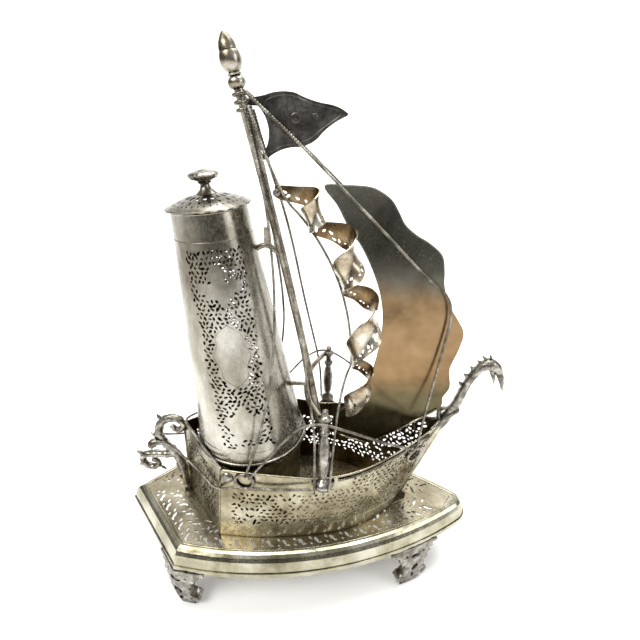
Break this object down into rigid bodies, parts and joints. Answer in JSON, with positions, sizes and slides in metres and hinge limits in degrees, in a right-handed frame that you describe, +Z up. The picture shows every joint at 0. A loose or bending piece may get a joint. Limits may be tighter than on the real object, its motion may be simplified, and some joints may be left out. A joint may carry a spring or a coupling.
{
  "type": "ship-shaped incense censer",
  "caption": "Free-standing incense censer shaped as a sailing ship on a footed tray, with a pierced tower, a lift-off lid, a mast, a sail and wire rigging.",
  "frame": {"origin": "centre of the whole object's outline, on the level surface that the four feet stand on", "axes": "+X towards the bow and the bird's beak, +Y to port, +Z up along the tower and mast"},
  "size_m": [0.31, 0.1404, 0.4132],
  "materials": {
    "silver_smooth": "tarnished silver sheet with soft hammer waves, warm grey",
    "silver_sheet": "pierced and chased tarnished silver sheet, brown in the hollows",
    "silver_cast": "cast silver, dark in the hollows",
    "silver_wire": "twisted silver wire",
    "silver_dark": "dark oxidised silver sheet"
  },
  "bodies": {
    "ship": {"boss_port": "silver_cast", "boss_starboard": "silver_cast", "bow_line": "silver_wire", "bow_ring_port": "silver_smooth", "bow_ring_starboard": "silver_smooth", "corner_line": "silver_wire", "crosstree": "silver_smooth", "festoon": "silver_sheet", "festoon_stay": "silver_wire", "festoon_ties": "silver_wire", "finial": "silver_cast", "flag": "silver_dark", "foot_bow_port": "silver_cast", "foot_bow_starboard": "silver_cast", "foot_stern_port": "silver_cast", "foot_stern_starboard": "silver_cast", "forestay_port": "silver_wire", "forestay_starboard": "silver_wire", "guard_rope_port": "silver_wire", "guard_rope_starboard": "silver_wire", "gunwale_rope_port": "silver_wire", "gunwale_rope_starboard": "silver_wire", "head_lashing": "silver_wire", "hull_floor": "silver_smooth", "hull_side_port": "silver_sheet", "hull_side_starboard": "silver_sheet", "hull_stern_port": "silver_sheet", "hull_stern_starboard": "silver_sheet", "mast": "silver_smooth", "mast_step": "silver_smooth", "post_cup_port": "silver_cast", "post_cup_starboard": "silver_cast", "post_port": "silver_cast", "post_starboard": "silver_cast", "prow_bird": "silver_cast", "quarter_stay_port": "silver_wire", "quarter_stay_starboard": "silver_wire", "sail": "silver_sheet", "shroud_port": "silver_wire", "shroud_starboard": "silver_wire", "stem_leaf": "silver_cast", "stem_post": "silver_smooth", "stern_line": "silver_wire", "stern_ring_port": "silver_smooth", "stern_ring_starboard": "silver_smooth", "stern_scroll": "silver_cast", "tower_rim": "silver_smooth", "tower_seat": "silver_smooth", "tower_wall": "silver_sheet", "tray_edge_strip": "silver_smooth", "tray_moulding": "silver_smooth", "tray_plate": "silver_smooth", "upper_bracket": "silver_smooth", "waist_line_port": "silver_wire", "waist_line_starboard": "silver_wire"},
    "lid": {"lid_dome": "silver_smooth", "lid_collar": "silver_smooth", "lid_knob": "silver_cast"},
    "cup": {"incense_cup": "silver_smooth"}
  },
  "joints": [
    {"name": "lid_lift", "type": "slide", "parent": "ship", "child": "lid", "axis": [-0.1071, 0, 0.9942], "range_m": [0, 0.045]},
    {"name": "cup_lift", "type": "slide", "parent": "ship", "child": "cup", "axis": [-0.1071, 0, 0.9942], "range_m": [0, 0.2]}
  ]
}
